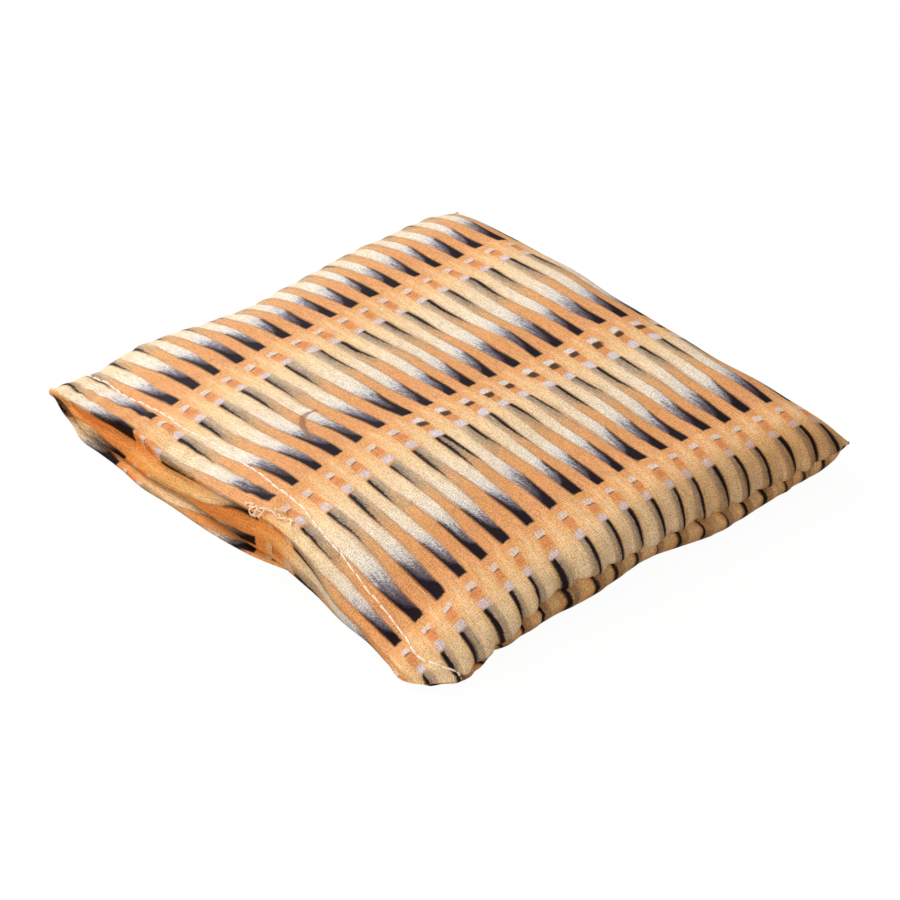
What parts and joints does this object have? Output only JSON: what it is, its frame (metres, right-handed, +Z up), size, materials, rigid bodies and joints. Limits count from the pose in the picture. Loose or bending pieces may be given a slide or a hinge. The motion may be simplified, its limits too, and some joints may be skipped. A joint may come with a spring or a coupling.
{
  "type": "foldable shopping bag packed in its pouch",
  "caption": "Foldable shopping bag of printed woven polyester, folded up inside its own small flat sewn pouch with a hemmed mouth.",
  "frame": {"origin": "middle of the pouch's box, on the surface it lies on", "axes": "+Z up; +X along the hemmed mouth, towards the side seam that shows puckered; +Y from the mouth to the back fold"},
  "size_m": [0.1318, 0.1171, 0.017],
  "materials": {
    "pouch_cloth": "printed woven polyester, satin",
    "bag_cloth": "printed woven polyester, satin"
  },
  "bodies": {
    "root": {"pouch": "pouch_cloth", "folded_bag": "bag_cloth"}
  },
  "joints": []
}
